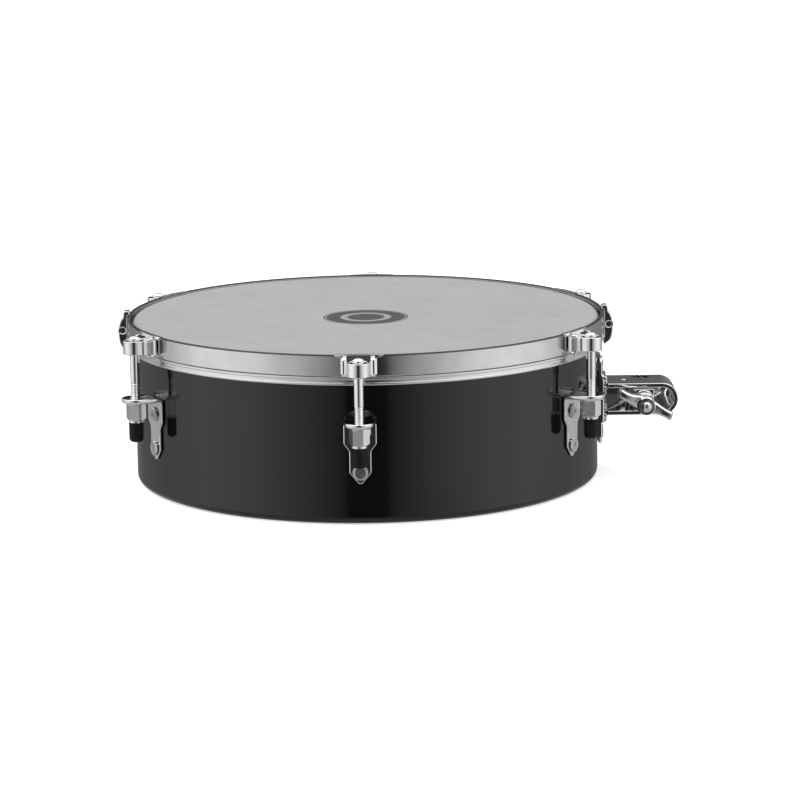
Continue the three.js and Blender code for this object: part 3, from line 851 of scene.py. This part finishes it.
for number, place in LUG_STATION.items():
    nut_body = f"nut_{number}"
    for name, mesh, finish, body, slot, node in (
            ("claw_welded", claw_mesh, CHROME, "hoop", "chrome", "claw"),
            ("rod_threaded", rod_mesh, CHROME, "hoop", "chrome", "tension_rod"),
            ("plate_dished", lug_plate_mesh, PLATE_CHROME, "drum", "chrome", "lug_plate"),
            ("nut_hexagon", nut_mesh, NUT_CHROME, nut_body, "chrome", "tension_nut"),
            ("cap_moulded", cap_mesh, RUBBER, nut_body, "rubber_cap", "rod_cap"),
            *[(f"screw_crosshead_{level}", screw, STEEL, "drum", "steel", f"lug_screw_{level}")
              for level, screw in screw_meshes.items()]):
        add(f"{name}_{number}", mesh, finish, body, [f"{node}_{number}"], place)

# ---- clips on the hoop

EYE_RADIUS = 2.1 * MM
PIN_RADIUS = 2.3 * MM


def build_ear():
    """A clip with a tab over the hoop's edge and a rounded loop with a pin through its eye."""
    low, high = local_box("hoop_ear_1", SIDE)
    reach = high.x - HOOP_FACE
    middle, half_height = 104 * MM, 11.6 * MM
    lip = HOOP_TOP + 0.35 * MM
    loop = [(HOOP_FACE + reach * (0.15 + 0.85 * math.cos(a) ** 0.8), middle + half_height * math.sin(a))
            for a in [math.radians(d) for d in range(-80, 71, 10)]]
    tab = [(HOOP_FACE + 3.0 * MM, HOOP_TOP), (HOOP_FACE + 2.8 * MM, high.z), (low.x, high.z), (low.x, lip),
           (HOOP_FACE, lip), (HOOP_FACE, low.z)]
    radii = mm(0.8) + [0] * (len(loop) - 1) + mm(1.2, 2.2, 2.2, 0.5, 0.2, 0.5)
    eye_x, eye_z = HOOP_FACE + 3.6 * MM, middle + 2 * MM
    hole = arc(eye_x, eye_z, EYE_RADIUS, 0, 345, 23)
    depth = high.y - low.y
    clip = placed(sheet("ear", [rounded(loop + tab, radii), hole], depth, 0.9 * MM, 4), FACING_ACROSS)
    end = depth / 2 - 1.2 * MM
    pin = turned("pin", rounded([(0, -end), (PIN_RADIUS, -end), (PIN_RADIUS, end), (0, end)],
                                mm(0, 0.2, 0.2, 0)), 24, Matrix.Translation((eye_x, 0, eye_z)) @ ALONG_Y)
    return merged("ear", [moved(clip, y=depth / 2), pin])


ear_mesh = build_ear()
for number, angle in ((1, 0), (2, math.pi)):
    add(f"ear_clip_{number}", ear_mesh, CHROME, "hoop", [f"hoop_ear_{number}"], station(angle))

# ---- side clamp

base_low, base_high = local_box("mount_base", SIDE)
strap_low, strap_high = local_box("mount_strap", SIDE)
boss_low, boss_high = local_box("clamp_boss", SIDE)
jaw_low, jaw_high = local_box("clamp_jaw", SIDE)
wing_low, wing_high = local_box("wing_screw", SIDE)
backing_low, backing_high = local_box("mount_backing", SIDE)
STRAP_THICK = 3.2 * MM
CLAMP_X = (boss_low.x + boss_high.x) / 2
CLAMP_Z = (strap_low.z + strap_high.z) / 2
STAND_Y = 7.7 * MM


def rectangle(half_width, low, high):
    return [(-half_width, low), (half_width, low), (half_width, high), (-half_width, high)]


# Cast rolls round each end of the strap, in millimetres:
# height from the strap's middle, radius, depth from the front, inset at the ends.
KNUCKLES = ((-5.4, 1.9, 2.6, 1.6), (-1.9, 2.5, 2.6, 0.5), (2.4, 2.0, 2.2, 1.0), (5.2, 2.4, 2.7, 0.4))
BASE_THICK = 2.5 * MM
SOCKET_MARGIN = 6.4 * MM  # how far the cast socket runs past the strap, up and down


def knuckle(leg, height, radius, depth, inset):
    """A roll across the socket, waisted a little at its middle and near its ends."""
    half = base_high.y - inset
    outline = [(0, -half), (radius * 0.7, -half), (radius, -half * 0.72), (radius * 0.86, -half * 0.4),
               (radius, 0)]
    outline += [(r, -y) for r, y in reversed(outline[:-1])]
    roll = turned("roll", rounded(outline, [0] + [1.2 * MM] * 7 + [0]), 28)
    return placed(roll, Matrix.Translation((base_high.x - depth, 0, leg + height)) @ ALONG_Y)


def build_base():
    """A plate with a cast socket, rolls round each end of the strap, and four rivets."""
    plate = placed(sheet("base_plate", [rounded(rectangle(15 * MM, base_low.z, base_high.z), 6 * MM, 8)],
                         BASE_THICK, 0.8 * MM), FACING_OUT)
    moved(plate, x=base_low.x)
    front = base_low.x + BASE_THICK
    low, high = strap_low.z - SOCKET_MARGIN, strap_high.z + SOCKET_MARGIN
    edge = rounded(rectangle(base_high.y, low, high), 4 * MM, 6)
    socket = sheet("socket", [edge], base_high.x - front - 2.2 * MM, 1.2 * MM, 4)
    moved(placed(socket, FACING_OUT), x=front - 0.8 * MM)
    upper, lower = strap_high.z - STRAP_THICK / 2, strap_low.z + STRAP_THICK / 2
    rolls = [knuckle(leg, *mm(*lump)) for leg, lumps in ((upper, KNUCKLES), (lower, KNUCKLES[::-1]))
             for lump in lumps]
    rivets = [turned("rivet", [(0, 0)] + dome(2.2 * MM, 1.3 * MM, 6), 20,
                     Matrix.Translation((base_high.x - 1.9 * MM, y, z)) @ ALONG_X)
              for y in (-9 * MM, 9 * MM) for z in (strap_high.z + 4 * MM, strap_low.z - 4 * MM)]
    return merged("base", [plate, socket, *rolls, *rivets])


def build_strap():
    """A bent U of flat strap closed at the back by a web, with a cornerwise square hole through both legs."""
    outer = (strap_high.z - strap_low.z) / 2
    bend = strap_high.x - outer
    start = base_high.x - 0.5 * MM
    side = [(start, strap_low.z)] + arc(bend, CLAMP_Z, outer, -90, 90, 32) + [(start, strap_high.z)]
    inside = [(start, strap_high.z - STRAP_THICK)] + arc(bend, CLAMP_Z, outer - STRAP_THICK, 90, -90, 28)
    inside += [(start, strap_low.z + STRAP_THICK)]
    width = strap_high.y - strap_low.y
    body = moved(placed(sheet("strap", [side + inside], width, 0.7 * MM, 4), FACING_ACROSS), y=width / 2)
    half = 7.1 * MM
    diamond = rounded([(CLAMP_X - half, STAND_Y), (CLAMP_X, STAND_Y - half), (CLAMP_X + half, STAND_Y),
                       (CLAMP_X, STAND_Y + half)], 0.6 * MM)
    levels = [[(x, y, z) for x, y in diamond] for z in (strap_low.z - 1 * MM, strap_high.z + 1 * MM)]
    body = cut(body, mesh_from("diamond", lambda bm: loft(bm, levels)))
    dimple = turned("dimple", [(0, 0), mm(1.9, 0), mm(1.7, 0.35), mm(1.1, 0.55), mm(0, 0.6)], 20,
                    Matrix.Translation((CLAMP_X - 13 * MM, 0, strap_high.z - 0.05 * MM)))
    web = moved(placed(sheet("web", [side], 2.8 * MM, 0.7 * MM, 4), FACING_ACROSS), y=strap_high.y)
    return merged("strap", [body, web, dimple], math.radians(30))


def build_boss():
    """The threaded block between the legs, with a turned nose."""
    edge = rounded(rectangle((boss_high.x - boss_low.x) / 2, boss_low.z, boss_high.z), 1 * MM)
    block = moved(placed(sheet("block", [edge], 7.6 * MM, 0.6 * MM), FACING_ACROSS), x=CLAMP_X, y=boss_high.y)
    bore, nose_r, end = 4.1 * MM, 7.2 * MM, boss_high.y - 2 * MM
    nose = turned("nose", rounded([(bore, boss_low.y), (nose_r, boss_low.y), (nose_r, end), (bore, end)],
                                  mm(0.4, 1, 0, 0)), 48)
    return merged("boss", [block, placed(nose, Matrix.Translation((CLAMP_X, 0, CLAMP_Z)) @ ALONG_Y)])


JAW_RIBS = 4


def build_jaw():
    """The sliding jaw: a right-angled notch with ribs that bite the stand's rod."""
    half = (jaw_high.x - jaw_low.x) / 2
    apex = STAND_Y - 6.9 * MM
    notch = 5.5 * MM
    rib = notch / JAW_RIBS
    teeth = []
    for i in range(JAW_RIBS):
        along = notch - rib * i
        teeth += [(-along + 0.15 * MM, apex + along), (-along + rib * 0.55, apex + along - rib * 0.15)]
    outline = [(-half, jaw_low.y), (-half, jaw_high.y)] + teeth + [(0, apex)]
    outline += [(-x, y) for x, y in reversed(teeth)] + [(half, jaw_high.y), (half, jaw_low.y)]
    edge = [(x + CLAMP_X, y) for x, y in reversed(outline)]
    mesh = sheet("jaw", [edge], jaw_high.z - jaw_low.z, 0.35 * MM, 2)
    return smooth(moved(mesh, z=jaw_low.z), math.radians(25))


def superellipse(half_a, half_b, power, steps):
    """Points on a rounded rectangle whose corners sharpen with the power."""
    points = []
    for i in range(steps):
        c, s = math.cos(TAU * i / steps), math.sin(TAU * i / steps)
        points.append((half_a * math.copysign(abs(c) ** (2 / power), c),
                       half_b * math.copysign(abs(s) ** (2 / power), s)))
    return points


WING_TILT = math.radians(26)
WING_POWER = 4.0
SCREW_PITCH = 1.25 * MM
SCREW_DEPTH = 0.5 * MM
# Along a wing, in millimetres: distance from the axis, half length along the axis, half thickness,
# lift out of line.
WING_SECTION = ((3.0, 4.6, 5.0, 0), (6.0, 5.0, 4.7, 0.1), (8.5, 5.4, 4.1, 0.3), (11, 5.9, 3.5, 0.5),
                (13.5, 6.2, 3.2, 0.5), (16, 6.3, 3.1, 0.45), (18, 6.3, 3.2, 0.3), (19.7, 6.2, 3.2, 0.2),
                (20.2, 6.0, 3.05, 0.1), (20.5, 5.6, 2.7, 0))


def wing_stem(front, back):
    """The hub with its domed end, stepped collar and shaft with ring-shaped threads, made along +Z."""
    hub_front, hub_back = front + 4.5 * MM, front + 22 * MM
    tip, hub, collar, shaft = mm(3.7, 6.6, 7.2, 3.8)
    crown = 2.6 * MM
    profile = [(r, front + crown - z) for r, z in reversed(dome(tip, crown, 8))]
    profile += [
        (tip, hub_front + 0.8 * MM), (tip + 0.9 * MM, hub_front + 0.8 * MM), (tip + 1.3 * MM, hub_front),
        (hub - 0.7 * MM, hub_front), (hub, hub_front + 0.7 * MM), (hub - 0.1 * MM, hub_front + 4 * MM),
        (hub - 0.9 * MM, hub_front + 6 * MM), (hub - 0.7 * MM, hub_back - 5 * MM),
        (collar - 0.4 * MM, hub_back - 3.2 * MM), (collar, hub_back - 2.8 * MM),
        (collar, hub_back - 0.4 * MM), (collar - 0.4 * MM, hub_back), (shaft, hub_back)]
    z = hub_back + 1 * MM
    while z < back - 3 * MM:
        profile += [(shaft, z), (shaft - SCREW_DEPTH, z + SCREW_PITCH / 2)]
        z += SCREW_PITCH
    profile += [(shaft - SCREW_DEPTH, back - 0.4 * MM), (shaft - 0.9 * MM, back), (0, back)]
    return turned("stem", profile, 56)


def build_wing_screw():
    """A cast wing screw: stepped hub, two dished wings and a threaded shaft."""
    stem = placed(wing_stem(wing_low.y, wing_high.y), ALONG_Y)
    middle_y = wing_low.y + 14 * MM

    def wing(side):
        def build(bm):
            loops = []
            for r, long, thick, lift in WING_SECTION:
                loops.append([(side * r * MM, middle_y + a * MM, (side * lift + b) * MM)
                              for a, b in superellipse(long, thick, WING_POWER, 40)])
            loft(bm, loops)
        return mesh_from("wing", build, math.radians(70))

    whole = merged("wing_screw", [stem, wing(1), wing(-1)], math.radians(45))
    return placed(whole, Matrix.Translation((CLAMP_X, 0, CLAMP_Z)) @ Matrix.Rotation(WING_TILT, 4, "Y"))


def build_backing():
    edge = rounded(rectangle(backing_high.y, backing_low.z, backing_high.z), 4 * MM)
    mesh = placed(sheet("backing", [edge], backing_high.x - backing_low.x, 0.5 * MM), FACING_OUT)
    return smooth(moved(mesh, x=backing_low.x))


add("clamp_base_cast", build_base(), CHROME, "drum", ["mount_base"], SIDE)
add("clamp_strap_bent", build_strap(), CHROME, "drum", ["mount_strap"], SIDE)
add("clamp_boss_turned", build_boss(), CHROME, "drum", ["clamp_boss"], SIDE)
add("clamp_jaw_notched", build_jaw(), STEEL, "jaw", ["clamp_jaw"], SIDE)
add("wing_screw_cast", build_wing_screw(), CAST_CHROME, "wing", ["wing_screw"], SIDE)
add("clamp_backing_plate", build_backing(), STEEL, "drum", ["mount_backing"], SIDE)
for level in ("upper", "lower"):
    node = f"mount_screw_{level}"
    screw = build_screw(node, node, SIDE, 3.4 * MM, 2.4 * MM)
    add(f"clamp_screw_crosshead_{level}", screw, STEEL, "drum", [node], SIDE)

# ---- camera

CAMERA_DISTANCE = 2.3
CAMERA_ELEVATION = math.radians(9.707)
CAMERA_ROLL = math.radians(-0.69)
LENS = 145.0
AIM_DROP = 64.4 * MM  # the camera aims this far below the hoop's top
AIM_ASIDE = 1.0 * MM  # and this far to the right of the frame's middle

towards_camera = Vector((0, -math.cos(CAMERA_ELEVATION), math.sin(CAMERA_ELEVATION)))
camera_place = AXIS + Vector((0, 0, HOOP_TOP)) + CAMERA_DISTANCE * towards_camera
aim = Vector((AIM_ASIDE, 0, HOOP_TOP - AIM_DROP))


def looking(place, target):
    """At the place, with -Z towards the target and +Y up."""
    turn = (Vector(target) - Vector(place)).to_track_quat("-Z", "Y").to_matrix().to_4x4()
    return Matrix.Translation(place) @ turn


camera = new_object("camera", bpy.data.cameras.new("camera"))
camera.data.lens = LENS
camera.matrix_world = looking(camera_place, aim) @ Matrix.Rotation(CAMERA_ROLL, 4, "Z")
bpy.context.scene.camera = camera

# ---- floor and light

FLOOR_HALF = 25.0
FLOOR_GAP = 0.2 * MM  # keeps the floor clear of the shell's rim


def build_floor():
    """A pale floor that reflections don't see."""
    made, nodes, shader = material("pale_floor", Metallic=0.0, Roughness=0.9, Specular_IOR_Level=0.1,
                                   Emission_Color=(1, 1, 1, 1), Emission_Strength=0.6)
    cloud = nodes.noise(nodes.place(), 0.8, 2)
    link(nodes, shader, Base_Color=nodes.mottle(cloud, grey(0.90), grey(0.92)))
    grid = {"x_segments": 2, "y_segments": 2, "size": FLOOR_HALF}
    floor = new_object("floor", mesh_from("floor", lambda bm: bmesh.ops.create_grid(bm, **grid)))
    floor.data.materials.append(made)
    floor.location.z = -FLOOR_GAP
    floor.visible_glossy = False


def softbox(name, place, target, size, power):
    data = bpy.data.lights.new(name, "AREA")
    data.shape = "RECTANGLE"
    data.size, data.size_y = size
    data.energy = power
    new_object(name, data).matrix_world = looking(place, target)


# Brightness of the studio's walls by degrees from the front, level with the drum and above it.
SIDE_LIGHT = ((0, 0.02), (9, 0.03), (12, 0.19), (17, 0.29), (25, 0.44), (34, 0.59), (50, 0.84),
              (61, 0.97), (85, 1.0), (95, 0.85), (117, 0.5), (146, 0.25), (180, 0.18))
UPPER_LIGHT = ((0, 0.04), (12, 0.12), (25, 0.45), (60, 0.85), (120, 0.85), (150, 0.3), (180, 0.09))
GROUND_LIGHT = (0.5, 0.5, 0.5, 1)


def build_world():
    """A studio: bright walls to the sides, a dim wall before and behind the drum, all smooth."""
    world = bpy.data.worlds.new("studio")
    bpy.context.scene.world = world
    world.use_nodes = True
    nodes = Nodes(world.node_tree)
    x, y, z = nodes.split(nodes.make("ShaderNodeTexCoord").outputs["Generated"])
    level = nodes.math("SQRT", nodes.math("ADD", nodes.math("MULTIPLY", x, x), nodes.math("MULTIPLY", y, y)))
    forward = nodes.math("DIVIDE", nodes.math("MULTIPLY", y, -1.0), nodes.math("MAXIMUM", level, 0.001))
    turn = nodes.math("DIVIDE", nodes.math("ARCCOSINE", forward), math.pi)
    low, high = [nodes.ramp(turn, [(angle / 180, grey(value)) for angle, value in light])
                 for light in (SIDE_LIGHT, UPPER_LIGHT)]
    walls = nodes.mix(nodes.remap(z, -0.06, 0.1, 0, 1), low, high)
    whole = nodes.mix(nodes.remap(z, -0.28, -0.46, 0, 1), walls, GROUND_LIGHT)
    nodes.tree.links.new(whole, nodes.tree.nodes["Background"].inputs["Color"])


build_floor()
build_world()
softbox("overhead", place=(0, 0.3, 2.4), target=(0, 0, 0), size=(5.5, 5.0), power=92)
bpy.context.scene.view_settings.view_transform = "Standard"
